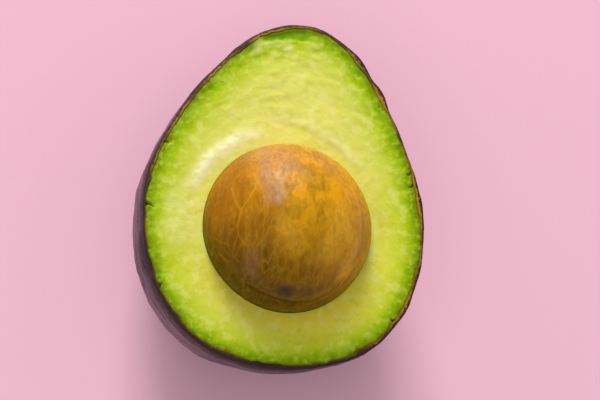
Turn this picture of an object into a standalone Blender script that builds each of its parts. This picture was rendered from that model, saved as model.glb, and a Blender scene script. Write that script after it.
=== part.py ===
"""Half of a ripe avocado, cut lengthways, resting on its back with the stone still in it.

Three pieces come apart on a bench: the skin, a thin bowl of peel; the flesh, a thick bowl inside it
with a pocket in its cut face; and the stone, which stands half out of that pocket.

The cut face is level and looks up, +Z. The narrow stem end points to +Y. The origin is on the surface
that the half rests on, under the middle of the fruit's outline. Everything is in metres.

Every surface is a stack of closed rings, joined ring to ring and filled at its end. The rings are
worked out about the stone's axis, with the cut face at height zero, and the finished pieces are then
placed by one empty, so that the fruit rests on z = 0.
"""

import math

import bmesh
import bpy

# The fruit, skin to skin.
FRUIT_LENGTH = 0.0874  # along the cut face, base to stem end
FRUIT_WIDTH = 0.0720  # across the cut face, where it is widest
HALF_DEPTH = 0.0345  # from the cut face to the deepest point of the back, before it settles
STONE_TO_BASE = 0.0343  # from the stone's axis to the skin at the base
BACK_SHIFT = 0.0035  # the deepest point of the back lies this far from the stone's axis, to the stem end
RESTING_SINK = 0.0008  # how much of the rounded back has settled flat on the table
SKIN_THICKNESS = 0.0012

# The stone.
STONE_WIDTH = 0.0426
STONE_LENGTH = 0.0430
STONE_HEIGHT = 0.0412
STONE_SEAT = 0.0010  # how far the stone's centre is below the cut face

# Clearance between neighbouring pieces.
FIT_GAP = 0.0003

# The outline of the cut face is an ellipse whose width is multiplied by a polynomial in s, which runs
# from -1 at the base to +1 at the stem end. The coefficients are those of 1, s, s^2, s^3 and s^4.
FULLNESS = (0.98, -0.21, -0.10, -0.04, 0.18)
STEM_LEAN = 0.0042  # how far the stem end leans towards +X

# Just below the cut face the sides go on swelling a little before they turn under, most of all on
# one side, because the knife passed a little above the fruit's middle. Shares of the local width.
SIDE_SWELL = 0.05
SWELL_SKEW = 0.10
SWELL_SIDE = math.radians(238)

# How finely the surfaces are divided.
RING_POINTS = 64
BACK_RINGS = 12
POCKET_RINGS = 8
STONE_RINGS = 16

# Colours (linear RGB), roughness.
SKIN_FINISH = ((0.035, 0.018, 0.022, 1.0), 0.45)
FLESH_FINISH = ((0.560, 0.610, 0.090, 1.0), 0.35)
STONE_FINISH = ((0.330, 0.150, 0.030, 1.0), 0.40)

TURN = [2 * math.pi * k / RING_POINTS for k in range(RING_POINTS)]


def clear_scene():
    """Removes the objects that the file opened with."""
    for obj in list(bpy.data.objects):
        bpy.data.objects.remove(obj)


def outline_point(angle, inset):
    """A point of the cut face's outline, this far inside the skin's outer surface."""
    s = math.sin(angle)
    fullness = sum(c * s**power for power, c in enumerate(FULLNESS))
    half_width = FRUIT_WIDTH / 2 - inset
    half_length = FRUIT_LENGTH / 2 - inset
    middle = FRUIT_LENGTH / 2 - STONE_TO_BASE
    x = half_width * math.cos(angle) * fullness + STEM_LEAN * max(s, 0.0) ** 2
    return x, middle + half_length * s


def back_ring(dip, inset):
    """A closed ring of the fruit's back. dip is 0 at the cut face and a quarter turn at the deepest."""
    ring = []
    for angle in TURN:
        x, y = outline_point(angle, inset)
        swell = SIDE_SWELL + SWELL_SKEW * math.cos(math.atan2(y, x) - SWELL_SIDE)
        reach = math.cos(dip) + swell * math.sin(2 * dip)
        ring.append((x * reach, y * reach + BACK_SHIFT * math.sin(dip), -(HALF_DEPTH - inset) * math.sin(dip)))
    return ring


def back_rings(inset):
    """The rings from the cut face down to the edge of the flat spot that the fruit rests on."""
    deepest = math.asin(1 - RESTING_SINK / HALF_DEPTH)
    return [back_ring(deepest * k / BACK_RINGS, inset) for k in range(BACK_RINGS + 1)]


def stone_ring(rise, gap):
    """A closed ring of the stone, or of the pocket around it. rise is the angle above its middle."""
    across = (STONE_WIDTH / 2 + gap) * math.cos(rise)
    along = (STONE_LENGTH / 2 + gap) * math.cos(rise)
    height = (STONE_HEIGHT / 2 + gap) * math.sin(rise) - STONE_SEAT
    return [(across * math.cos(angle), along * math.sin(angle), height) for angle in TURN]


def pocket_rings():
    """The rings of the flesh's pocket, from its lip in the cut face nearly to its bottom."""
    lip = math.asin(STONE_SEAT / (STONE_HEIGHT / 2 + FIT_GAP))
    step = (lip + math.pi / 2) / (POCKET_RINGS + 1)
    return [stone_ring(lip - step * k, FIT_GAP) for k in range(POCKET_RINGS + 1)]


def stone_rings():
    """The rings of the stone, from near its top nearly to its bottom."""
    step = math.pi / (STONE_RINGS + 1)
    return [stone_ring(math.pi / 2 - step * (k + 1), 0.0) for k in range(STONE_RINGS)]


def stacked(name, rings, first_pole, last_pole):
    """An object whose surface joins each ring to the next. An end with a pole closes in a fan to it,
    and an end without one is filled with a flat face."""
    made = bmesh.new()
    rows = [[made.verts.new(point) for point in ring] for ring in rings]
    for upper, lower in zip(rows, rows[1:]):
        for k in range(RING_POINTS):
            after = (k + 1) % RING_POINTS
            made.faces.new((upper[k], lower[k], lower[after], upper[after]))
    for row, pole in ((rows[0], first_pole), (rows[-1], last_pole)):
        if pole is None:
            made.faces.new(row)
            continue
        tip = made.verts.new(pole)
        for k in range(RING_POINTS):
            made.faces.new((row[k], row[(k + 1) % RING_POINTS], tip))
    bmesh.ops.recalc_face_normals(made, faces=made.faces)
    mesh = bpy.data.meshes.new(name)
    made.to_mesh(mesh)
    made.free()
    obj = bpy.data.objects.new(name, mesh)
    bpy.context.scene.collection.objects.link(obj)
    return obj


def finish(obj, colour, roughness):
    """Gives the object a material of its own, and smooth shading with the cut edges kept sharp."""
    material = bpy.data.materials.new(obj.name)
    material.use_nodes = True
    shader = material.node_tree.nodes["Principled BSDF"]
    shader.inputs["Base Color"].default_value = colour
    shader.inputs["Roughness"].default_value = roughness
    shader.inputs["Metallic"].default_value = 0.0
    obj.data.materials.append(material)
    obj.data.shade_smooth()
    obj.data.set_sharp_from_angle(angle=math.radians(40))


def make_skin():
    """The peel: outer back, cut rim and inner back, in one closed surface with two flat bottoms."""
    outer = back_rings(0.0)
    inner = back_rings(SKIN_THICKNESS)
    skin = stacked("skin", outer[::-1] + inner, None, None)
    finish(skin, *SKIN_FINISH)
    return skin


def make_flesh():
    """The flesh: its back against the skin, its cut face, and the pocket that the stone leaves."""
    back = back_rings(SKIN_THICKNESS + FIT_GAP)
    pocket_bottom = (0.0, 0.0, -(STONE_HEIGHT / 2 + FIT_GAP) - STONE_SEAT)
    flesh = stacked("flesh", back[::-1] + pocket_rings(), None, pocket_bottom)
    finish(flesh, *FLESH_FINISH)
    return flesh


def make_stone():
    """The stone, a nearly round seed."""
    top = (0.0, 0.0, STONE_HEIGHT / 2 - STONE_SEAT)
    bottom = (0.0, 0.0, -STONE_HEIGHT / 2 - STONE_SEAT)
    stone = stacked("stone", stone_rings(), top, bottom)
    finish(stone, *STONE_FINISH)
    return stone


def place_on_table(pieces):
    """Parents the pieces to an empty that sets the fruit on z = 0 with its outline centred."""
    reach = [point for ring in back_rings(0.0) for point in ring]
    low = [min(point[axis] for point in reach) for axis in range(3)]
    high = [max(point[axis] for point in reach) for axis in range(3)]
    place = bpy.data.objects.new("fruit_place", None)
    bpy.context.scene.collection.objects.link(place)
    place.location = (-(low[0] + high[0]) / 2, -(low[1] + high[1]) / 2, -low[2])
    for piece in pieces:
        piece.parent = place


def main():
    """Builds the skin, the flesh and the stone."""
    clear_scene()
    place_on_table([make_skin(), make_flesh(), make_stone()])


main()
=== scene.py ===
"""Half an avocado on its back, cut face up, with the stone in its pocket.

The fruit's form is worked out about the stone's axis: x across the fruit, y towards the stem end, and
z upwards from the cut face. FruitForm holds that form and puts it in the frame's place. Lengths are in
metres, and MM turns millimetres into metres.
"""

import logging
import math
from dataclasses import dataclass
from enum import Enum
from functools import reduce

import bpy
import numpy as np
from mathutils import Matrix, Vector


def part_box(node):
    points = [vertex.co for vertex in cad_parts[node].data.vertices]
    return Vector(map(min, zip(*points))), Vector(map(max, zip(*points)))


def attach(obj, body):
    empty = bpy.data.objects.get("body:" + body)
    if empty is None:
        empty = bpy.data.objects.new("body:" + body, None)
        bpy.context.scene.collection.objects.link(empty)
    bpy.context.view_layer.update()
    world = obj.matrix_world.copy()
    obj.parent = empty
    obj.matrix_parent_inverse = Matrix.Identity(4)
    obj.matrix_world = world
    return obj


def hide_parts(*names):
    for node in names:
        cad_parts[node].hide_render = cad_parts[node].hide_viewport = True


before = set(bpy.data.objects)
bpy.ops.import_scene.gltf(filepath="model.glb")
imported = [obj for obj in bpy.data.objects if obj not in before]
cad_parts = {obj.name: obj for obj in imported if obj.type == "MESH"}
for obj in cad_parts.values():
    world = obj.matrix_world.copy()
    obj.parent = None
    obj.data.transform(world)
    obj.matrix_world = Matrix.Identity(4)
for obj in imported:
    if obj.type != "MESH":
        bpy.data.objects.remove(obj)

MM = 0.001
TURN = 2 * math.pi
log = logging.getLogger("avocado")

Colour = tuple[float, float, float, float]
Line = tuple[tuple[float, float], ...]
Triple = tuple[float, float, float]
Socket = bpy.types.NodeSocket
NO_MOVE = (0.0, 0.0, 0.0)


def colour(red: float, green: float, blue: float) -> Colour:
    """A linear colour from the 0 to 255 values that a screen shows it with.

    Args:
        red, green, blue: Screen values.

    Returns:
        The linear colour with a full alpha.
    """
    screen = np.array((red, green, blue)) / 255
    low = screen / 12.92
    high = ((screen + 0.055) / 1.055) ** 2.4
    return (*np.where(screen <= 0.04045, low, high).tolist(), 1.0)


def fade(values: np.ndarray, start: float, end: float) -> np.ndarray:
    """A smooth step: 0 up to start, 1 from end on, and 3u^2 - 2u^3 between, where u runs from 0 to 1.

    Args:
        values: Any array.
        start: Where the step begins.
        end: Where it ends. It may be below start, and the step then falls.

    Returns:
        The step, in the array's shape.
    """
    u = np.clip((values - start) / (end - start), 0.0, 1.0)
    return u * u * (3 - 2 * u)


def bell(values: np.ndarray, middle: float | np.ndarray, width: float | np.ndarray) -> np.ndarray:
    """A bell: exp(-((value - middle) / width)^2).

    Args:
        values: Any array.
        middle: Where the bell is 1.
        width: How far from the middle it has fallen to 0.37.

    Returns:
        The bell, in the array's shape.
    """
    return np.exp(-(((values - middle) / width) ** 2))


def wrapped(angle: np.ndarray, turn: float = 360.0) -> np.ndarray:
    """An angle brought to between minus half a turn and half a turn."""
    return (angle + turn / 2) % turn - turn / 2


def triple(x: np.ndarray | float, y: np.ndarray | float, z: np.ndarray | float) -> np.ndarray:
    """Points from their coordinates, which are stretched to one shape."""
    return np.stack(np.broadcast_arrays(x, y, z), axis=-1)


def joined(parts: tuple[np.ndarray, ...], values: tuple[np.ndarray | float, ...]) -> np.ndarray:
    """Values over all the rings of a surface that is built in parts.

    Args:
        parts: Each part's points, rings by points by three.
        values: Each part's value, or values that stretch to its rings.

    Returns:
        One value for each point.
    """
    return np.concatenate([np.broadcast_to(value, part.shape[:2]) for part, value in zip(parts, values)])


class Grain:
    """Irregular patterns in space from one table of seeded random numbers, the same on every run."""

    SIDE = 32
    LAYER_SHIFT = 7.3
    FAR = 9.0

    def __init__(self, seed: int) -> None:
        """Draws the table.

        Args:
            seed: Names the pattern.
        """
        self.table = np.random.RandomState(seed).rand(self.SIDE, self.SIDE, self.SIDE, 4)

    def _look_up(self, cells: np.ndarray) -> np.ndarray:
        """The four random numbers of each cell of a grid that repeats."""
        i, j, k = (cells[..., axis] % self.SIDE for axis in range(3))
        return self.table[i, j, k]

    def cloud(self, points: np.ndarray, size: float | Triple, layers: int = 1) -> np.ndarray:
        """Soft swells, from -1 to 1: random values at the corners of a grid of this size, blended with a
        smooth step between them. Each further layer has half the size and half the strength.

        Args:
            points: Places, three numbers each.
            size: The swells' size, or one size for each axis.
            layers: How many layers are added up.

        Returns:
            One value for each point.
        """
        total = np.zeros(points.shape[:-1])
        weight = 0.0
        for layer in range(layers):
            scaled = points / np.asarray(size) * 2**layer + self.LAYER_SHIFT * layer
            cell = np.floor(scaled).astype(int)
            u = scaled - cell
            u = u * u * (3 - 2 * u)
            value = np.zeros(points.shape[:-1])
            for corner in np.ndindex(2, 2, 2):
                step = np.array(corner)
                share = np.prod(np.where(step == 1, u, 1 - u), axis=-1)
                value += share * self._look_up(cell + step)[..., 0]
            total += (2 * value - 1) * 0.5**layer
            weight += 0.5**layer
        return total / weight

    def wander(self, points: np.ndarray, size: float, apart: float) -> np.ndarray:
        """Vectors that drift from place to place: three clouds, read this far apart."""
        return np.stack([self.cloud(points + apart * axis, size) for axis in range(3)], axis=-1)

    def cobbles(self, points: np.ndarray, size: float) -> tuple[np.ndarray, np.ndarray]:
        """Rounded cobbles: each cell of a grid holds one seed at a random place, and a point belongs to
        its nearest seed.

        Args:
            points: Places, three numbers each.
            size: The cobbles' size.

        Returns:
            The distance to the second nearest seed less that to the nearest, in sizes, which is 0 between
            cobbles and grows towards their middles; and a random number for each cobble.
        """
        scaled = points / size
        cell = np.floor(scaled).astype(int)
        nearest = np.full(points.shape[:-1], self.FAR)
        second = np.full(points.shape[:-1], self.FAR)
        name = np.zeros(points.shape[:-1])
        for offset in np.ndindex(3, 3, 3):
            there = cell + np.array(offset) - 1
            drawn = self._look_up(there)
            distance = np.linalg.norm(there + drawn[..., :3] - scaled, axis=-1)
            closer = distance < nearest
            second = np.where(closer, nearest, np.minimum(second, distance))
            name = np.where(closer, drawn[..., 3], name)
            nearest = np.where(closer, distance, nearest)
        return second - nearest, name


def outward(rows: np.ndarray) -> np.ndarray:
    """Unit normals of a grid of points whose rows are closed rings: the cross product of the steps along
    a row and from row to row.

    Args:
        rows: Points, rings by points by three.

    Returns:
        One unit normal for each point, on the side that the steps' order gives.
    """
    along = np.roll(rows, -1, axis=1) - np.roll(rows, 1, axis=1)
    across = np.gradient(rows, axis=0)
    normal = np.cross(along, across)
    return normal / np.maximum(np.linalg.norm(normal, axis=-1, keepdims=True), 1e-12)


def closed_stack(
    name: str, rows: np.ndarray, poles: tuple[np.ndarray, np.ndarray], masks: dict[str, np.ndarray]
) -> bpy.types.Object:
    """A closed surface from rings: each ring joins the next with four-sided faces, and the first and the
    last close in a fan to a pole. The faces' order is turned round if the signed volume is negative.

    Args:
        name: The object's name.
        rows: Points, rings by points by three.
        poles: The points that close the first and the last ring.
        masks: Values for each grid point, kept as attributes of the mesh for its material.

    Returns:
        The object, at the origin, shaded smooth.
    """
    rings, around = rows.shape[:2]
    points = np.vstack([rows.reshape(-1, 3), np.array(poles)])
    first, last = rings * around, rings * around + 1
    index = np.arange(rings * around).reshape(rings, around)
    after = np.roll(index, -1, axis=1)
    quads = np.stack([index[:-1], after[:-1], after[1:], index[1:]], axis=-1).reshape(-1, 4)
    fans = np.vstack([triple(after[0], index[0], first), triple(index[-1], after[-1], last)])
    halves = np.vstack([quads[:, :3], quads[:, [0, 2, 3]], fans])
    a, b, c = (points[halves[:, corner]] for corner in range(3))
    if np.einsum("ij,ij->", a, np.cross(b, c)) < 0:
        quads = quads[:, ::-1]
        fans = fans[:, ::-1]
    loops = np.concatenate([quads.ravel(), fans.ravel()])
    sides = np.concatenate([np.full(len(quads), 4), np.full(len(fans), 3)])
    mesh = bpy.data.meshes.new(name)
    mesh.vertices.add(len(points))
    mesh.vertices.foreach_set("co", points.astype(np.float32).ravel())
    mesh.loops.add(len(loops))
    mesh.loops.foreach_set("vertex_index", loops.astype(np.int32))
    mesh.polygons.add(len(sides))
    mesh.polygons.foreach_set("loop_start", (np.cumsum(sides) - sides).astype(np.int32))
    mesh.update(calc_edges=True)
    mesh.validate()
    for mask, values in masks.items():
        ends = [values[0].mean(), values[-1].mean()]
        stored = mesh.attributes.new(mask, "FLOAT", "POINT")
        stored.data.foreach_set("value", np.append(values.ravel(), ends).astype(np.float32))
    mesh.shade_smooth()
    obj = bpy.data.objects.new(name, mesh)
    bpy.context.scene.collection.objects.link(obj)
    return obj


@dataclass(frozen=True)
class EdgeStretch:
    """A stretch of the cut edge that is thicker, or thinner if extra is negative. Its middle and half
    width are the outline's own angle in degrees, 90 at the stem end."""

    middle: float
    half: float
    extra: float


@dataclass
class FruitForm:
    """The half fruit's form, the same as the solid model's, and its place in the frame."""

    length: float = 87.4 * MM
    width: float = 72.0 * MM
    depth: float = 34.5 * MM
    stone_to_base: float = 34.3 * MM
    back_shift: float = 3.5 * MM
    resting_sink: float = 0.8 * MM
    skin_thickness: float = 1.2 * MM
    gap: float = 0.3 * MM
    slack: float = 0.85 * MM
    fullness: tuple[float, ...] = (0.98, -0.21, -0.10, -0.04, 0.18)
    stem_lean: float = 4.2 * MM
    side_swell: float = 0.05
    swell_skew: float = 0.10
    swell_side: float = math.radians(238)
    settle_blend: float = 0.12 * MM
    settle_from: float = 0.2
    edge_width: float = 0.86 * MM
    edge_least: float = 0.45 * MM
    edge_sway: float = 0.20 * MM
    edge_fray: float = 0.34 * MM
    edge_stretches: tuple[EdgeStretch, ...] = (
        EdgeStretch(52, 18, 0.75 * MM),
        EdgeStretch(138, 24, 0.45 * MM),
        EdgeStretch(190, 16, -0.25 * MM),
        EdgeStretch(262, 34, 0.30 * MM),
        EdgeStretch(358, 14, 0.20 * MM),
    )

    def __post_init__(self) -> None:
        """Finds the stone's axis, the height of the cut face and the solid's reach in the frame."""
        stone_low, stone_high = (np.array(corner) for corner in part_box("stone"))
        self.stone_middle = (stone_low + stone_high) / 2
        self.stone_half = (stone_high - stone_low) / 2
        self.place = np.array([*self.stone_middle[:2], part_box("skin")[1][2]])
        self.reach = np.array(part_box("skin")[1][:2])

    def outline(self, angle: np.ndarray, inset: np.ndarray | float) -> tuple[np.ndarray, np.ndarray]:
        """The cut face's outline: an ellipse, x = half width * cos(angle) * fullness(s), y = middle + half
        length * s with s = sin(angle), where fullness is a polynomial in s and the stem end leans to +x
        by stem_lean * s^2.

        Args:
            angle: The ellipse's angle, a quarter turn at the stem end.
            inset: How far inside the skin's outer surface.

        Returns:
            x and y about the stone's axis.
        """
        s = np.sin(angle)
        fullness = sum(c * s**power for power, c in enumerate(self.fullness))
        lean = self.stem_lean * np.maximum(s, 0) ** 2
        x = (self.width / 2 - inset) * np.cos(angle) * fullness + lean
        return x, self.length / 2 - self.stone_to_base + (self.length / 2 - inset) * s

    def rest_depth(self, inset: np.ndarray | float) -> np.ndarray | float:
        """How deep the settled back is, this far inside the skin's outer surface."""
        return (self.depth - inset) * (1 - self.resting_sink / self.depth)

    def back(self, angle: np.ndarray, dip: np.ndarray, inset: np.ndarray | float) -> np.ndarray:
        """The back: the outline scaled by cos(dip) + swell * sin(2 dip), at the depth times sin(dip), with
        the last of the depth settled flat by a smooth minimum, -k log(exp(-a/k) + exp(-b/k)).

        Args:
            angle: The ellipse's angle, as a row.
            dip: 0 at the cut face and a quarter turn at the deepest point, as a column.
            inset: How far inside the skin's outer surface.

        Returns:
            Points about the stone's axis.
        """
        x, y = self.outline(angle, inset)
        swell = self.side_swell + self.swell_skew * np.cos(np.arctan2(y, x) - self.swell_side)
        reach = np.cos(dip) + swell * np.sin(2 * dip)
        down = (self.depth - inset) * np.sin(dip)
        limit = self.rest_depth(inset)
        spread = np.exp(-np.abs(down - limit) / self.settle_blend)
        settled = np.minimum(down, limit) - self.settle_blend * np.log1p(spread)
        settled = np.where(dip < self.settle_from, down, settled)
        return triple(x * reach, y * reach + self.back_shift * np.sin(dip), -settled)

    def bottom(self, inset: float) -> np.ndarray:
        """The middle of the flat spot, this far inside the skin's outer surface."""
        return np.array([0.0, self.back_shift, -self.rest_depth(inset)])

    def at_polar(self, polar: np.ndarray) -> np.ndarray:
        """The ellipse angles of the outline points that lie in these directions from the stone's axis.

        Args:
            polar: Directions about the stone's axis, from 0 to a turn.

        Returns:
            The ellipse angles.
        """
        angle = np.linspace(-TURN, TURN, 8001)
        x, y = self.outline(angle, 0.0)
        seen = np.unwrap(np.arctan2(y, x))
        return np.interp(polar + TURN, seen, angle)

    def cut_band(self, angle: np.ndarray) -> np.ndarray:
        """How wide the skin's cut edge is: ragged, and thicker or thinner on some stretches of it.

        Args:
            angle: The ellipse's angle.

        Returns:
            Widths.
        """
        around = triple(np.cos(angle) * 36 * MM, np.sin(angle) * 43 * MM, 0.0)
        ragged = Grain(11)
        wide = self.edge_width + self.edge_sway * ragged.cloud(around, 4 * MM)
        wide = wide + self.edge_fray * ragged.cloud(around, 1.5 * MM, 2)
        for stretch in self.edge_stretches:
            away = wrapped(angle - math.radians(stretch.middle), TURN)
            wide = wide + stretch.extra * bell(away, 0.0, math.radians(stretch.half))
        return np.maximum(wide, self.edge_least)

    def stone_slack(self, polar: np.ndarray) -> np.ndarray:
        """How much the stone falls short of its solid on the side away from the stem end."""
        return self.slack * fade(-np.sin(polar), 0.0, 1.0)

    def placed(self, points: np.ndarray) -> np.ndarray:
        """Points about the stone's axis, moved to their place in the frame."""
        return points + self.place


@dataclass(frozen=True)
class Bench:
    """Lays out the nodes of one material, group or world."""

    tree: bpy.types.NodeTree

    def feed(self, node: bpy.types.Node, inputs: dict) -> bpy.types.Node:
        """Sets a node's inputs.

        Args:
            node: The node.
            inputs: For each input, by name or number, a value or the output that feeds it.

        Returns:
            The node.
        """
        for socket, value in inputs.items():
            if isinstance(value, Socket):
                self.tree.links.new(value, node.inputs[socket])
            else:
                node.inputs[socket].default_value = value
        return node

    def add(self, kind: str, inputs: dict | None = None, **settings) -> bpy.types.Node:
        """Adds a node.

        Args:
            kind: The node's type, without the ShaderNode at its front.
            inputs: What feed takes.
            settings: The node's own settings.

        Returns:
            The node.
        """
        node = self.tree.nodes.new("ShaderNode" + kind)
        for setting, value in settings.items():
            setattr(node, setting, value)
        return self.feed(node, inputs or {})

    def mask(self, name: str, strength: float = 1.0) -> Socket:
        """A value stored with the piece's points, times a strength."""
        stored = self.add("Attribute", attribute_name=name).outputs["Fac"]
        return stored if strength == 1.0 else self.times(stored, strength)

    def place(self, scale: Triple = (1.0, 1.0, 1.0), turn: Triple = NO_MOVE) -> Socket:
        """The piece's own coordinates in metres, scaled and then turned.

        Args:
            scale: A factor for each axis.
            turn: Angles about each axis.

        Returns:
            The coordinates' output.
        """
        inputs = {"Vector": self.add("TexCoord").outputs["Object"], "Rotation": turn, "Scale": scale}
        return self.add("Mapping", inputs).outputs["Vector"]

    def math(self, operation: str, first: Socket | float, second: Socket | float = 0.0) -> Socket:
        """One operation on one or two numbers, such as SUBTRACT or POWER."""
        return self.add("Math", {0: first, 1: second}, operation=operation).outputs[0]

    def run(self, operation: str, parts: tuple[Socket | float, ...]) -> Socket:
        """One operation over all the parts, from the first to the last."""
        return reduce(lambda total, part: self.math(operation, total, part), parts)

    def times(self, *factors: Socket | float) -> Socket:
        """The product of all the factors."""
        return self.run("MULTIPLY", factors)

    def plus(self, *terms: Socket | float) -> Socket:
        """The sum of all the terms."""
        return self.run("ADD", terms)

    def sway(self, noise: Socket, strength: float) -> Socket:
        """A noise about its middle of a half, times a strength."""
        return self.times(self.math("SUBTRACT", noise, 0.5), strength)

    def span(
        self, value: Socket, low: float, high: float, to_low: float = 0.0, to_high: float = 1.0
    ) -> Socket:
        """A smooth step of a value from to_low, at low, to to_high, at high."""
        inputs = {"Value": value, "From Min": low, "From Max": high, "To Min": to_low, "To Max": to_high}
        return self.add("MapRange", inputs, interpolation_type="SMOOTHSTEP").outputs["Result"]

    def mix(self, amount: Socket, first: Socket | Colour, second: Socket | Colour) -> Socket:
        """Two colours blended by an amount."""
        return self.add("Mix", {0: amount, 6: first, 7: second}, data_type="RGBA").outputs[2]

    def coats(self, paint: Socket | Colour, *coats: tuple[Socket | str, Socket | Colour]) -> Socket:
        """A paint with further colours laid over it, one after the other.

        Args:
            paint: The colour underneath.
            coats: Each coat's amount, or the name of the mask that holds it, and its colour.

        Returns:
            The colour's output.
        """
        for amount, shade in coats:
            paint = self.mix(self.mask(amount) if isinstance(amount, str) else amount, paint, shade)
        return paint

    def ramp(self, value: Socket, stops: tuple[tuple[float, Colour], ...]) -> Socket:
        """A run of colours along a value from 0 to 1.

        Args:
            value: The output that is read.
            stops: Places along the run and their colours.

        Returns:
            The colour's output.
        """
        node = self.add("ValToRGB", {"Fac": value})
        run = node.color_ramp
        while len(run.elements) < len(stops):
            run.elements.new(0.5)
        for element, (position, shade) in zip(run.elements, stops):
            element.position = position
            element.color = shade
        return node.outputs["Color"]

    def bumps(self, height: Socket, strength: float, distance: float) -> Socket:
        """The normal that a height gives."""
        inputs = {"Height": height, "Strength": strength, "Distance": distance}
        return self.add("Bump", inputs).outputs["Normal"]

    def group(self, tree: bpy.types.NodeTree, inputs: dict) -> bpy.types.Node:
        """Places a node group with its own values.

        Args:
            tree: The group.
            inputs: What feed takes.

        Returns:
            The group's node.
        """
        node = self.tree.nodes.new("ShaderNodeGroup")
        node.node_tree = tree
        return self.feed(node, inputs)


@dataclass(frozen=True)
class Mottle:
    """One finish's patches: swells to the metre, the level they start at, how soft their edge is, and how
    much they are warped."""

    size: float
    level: float
    softness: float
    warp: float = 0.3


@dataclass(frozen=True)
class Fibres:
    """One finish's fine lines: swells to the metre, how thin they are, and how much they are warped."""

    size: float
    thinness: float
    warp: float


class Effects:
    """The patterns that more than one finish uses, each a node group that is built once."""

    def __init__(self) -> None:
        """Builds the groups."""
        self.mottle_group = self._build_mottle()
        self.fibre_group = self._build_fibres()

    @staticmethod
    def _open(
        name: str, inputs: dict[str, float | Triple], outputs: tuple[str, ...]
    ) -> tuple[Bench, dict[str, Socket], bpy.types.Node]:
        """Starts a group.

        Args:
            name: The group's name.
            inputs: Each input's name and its usual value. A tuple makes a vector.
            outputs: Each output's name.

        Returns:
            The group's bench, its inputs by name, and the node that takes its outputs.
        """
        tree = bpy.data.node_groups.new(name, "ShaderNodeTree")
        for socket, value in inputs.items():
            kind = "NodeSocketVector" if isinstance(value, tuple) else "NodeSocketFloat"
            made = tree.interface.new_socket(socket, in_out="INPUT", socket_type=kind)
            made.default_value = value
        for socket in outputs:
            tree.interface.new_socket(socket, in_out="OUTPUT", socket_type="NodeSocketFloat")
        source = tree.nodes.new("NodeGroupInput")
        sink = tree.nodes.new("NodeGroupOutput")
        return Bench(tree), {socket: source.outputs[socket] for socket in inputs}, sink

    @staticmethod
    def _noise(bench: Bench, given: dict[str, Socket], detail: float, roughness: float) -> Socket:
        """The noise that a group works from, with the group's own vector, size and warp."""
        inputs = {"Vector": given["Vector"], "Scale": given["Size"], "Distortion": given["Warp"]}
        return bench.add("TexNoise", {**inputs, "Detail": detail, "Roughness": roughness}).outputs[0]

    def _build_mottle(self) -> bpy.types.NodeTree:
        """Soft-edged patches where a noise passes a level: Patches is 0 below it and 1 above it, and
        Swell is the noise itself, for height.

        Returns:
            The group.
        """
        inputs = {"Vector": NO_MOVE, "Size": 400.0, "Level": 0.5, "Softness": 0.08, "Warp": 0.3}
        bench, given, sink = self._open("mottle", inputs, ("Patches", "Swell"))
        noise = self._noise(bench, given, 3.0, 0.55)
        start = bench.math("SUBTRACT", given["Level"], given["Softness"])
        end = bench.plus(given["Level"], given["Softness"])
        bench.feed(sink, {"Patches": bench.span(noise, start, end), "Swell": noise})
        return bench.tree

    def _build_fibres(self) -> bpy.types.NodeTree:
        """Fine lines: a noise ridged about its middle, 1 - |2n - 1|, raised to a power that thins them.
        The vector is already stretched along the lines.

        Returns:
            The group.
        """
        inputs = {"Vector": NO_MOVE, "Size": 300.0, "Thinness": 8.0, "Warp": 0.4}
        bench, given, sink = self._open("fibres", inputs, ("Lines",))
        away = bench.math("ABSOLUTE", bench.sway(self._noise(bench, given, 2.0, 0.5), 2.0))
        ridge = bench.math("SUBTRACT", 1.0, away)
        bench.feed(sink, {"Lines": bench.math("POWER", ridge, given["Thinness"])})
        return bench.tree

    @staticmethod
    def _inputs(vector: Socket, values: Mottle | Fibres) -> dict:
        """A group's inputs, which have the names of the values' fields with a capital."""
        return {"Vector": vector, **{name.capitalize(): value for name, value in vars(values).items()}}

    def mottle(self, bench: Bench, vector: Socket, mottle: Mottle) -> tuple[Socket, Socket]:
        """Places a mottle.

        Args:
            bench: Where it is placed.
            vector: The coordinates that it reads.
            mottle: Its values.

        Returns:
            Its patches and its swell.
        """
        node = bench.group(self.mottle_group, self._inputs(vector, mottle))
        return node.outputs["Patches"], node.outputs["Swell"]

    def fibres(self, bench: Bench, vector: Socket, fibres: Fibres) -> Socket:
        """Places fibres, like mottle, and gives their lines."""
        return bench.group(self.fibre_group, self._inputs(vector, fibres)).outputs["Lines"]


def new_material(name: str) -> tuple[bpy.types.Material, Bench, bpy.types.Node]:
    """Starts a material.

    Args:
        name: The material's name.

    Returns:
        The material, the bench of its nodes, and its shader.
    """
    material = bpy.data.materials.new(name)
    material.use_nodes = True
    return material, Bench(material.node_tree), material.node_tree.nodes["Principled BSDF"]


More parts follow.
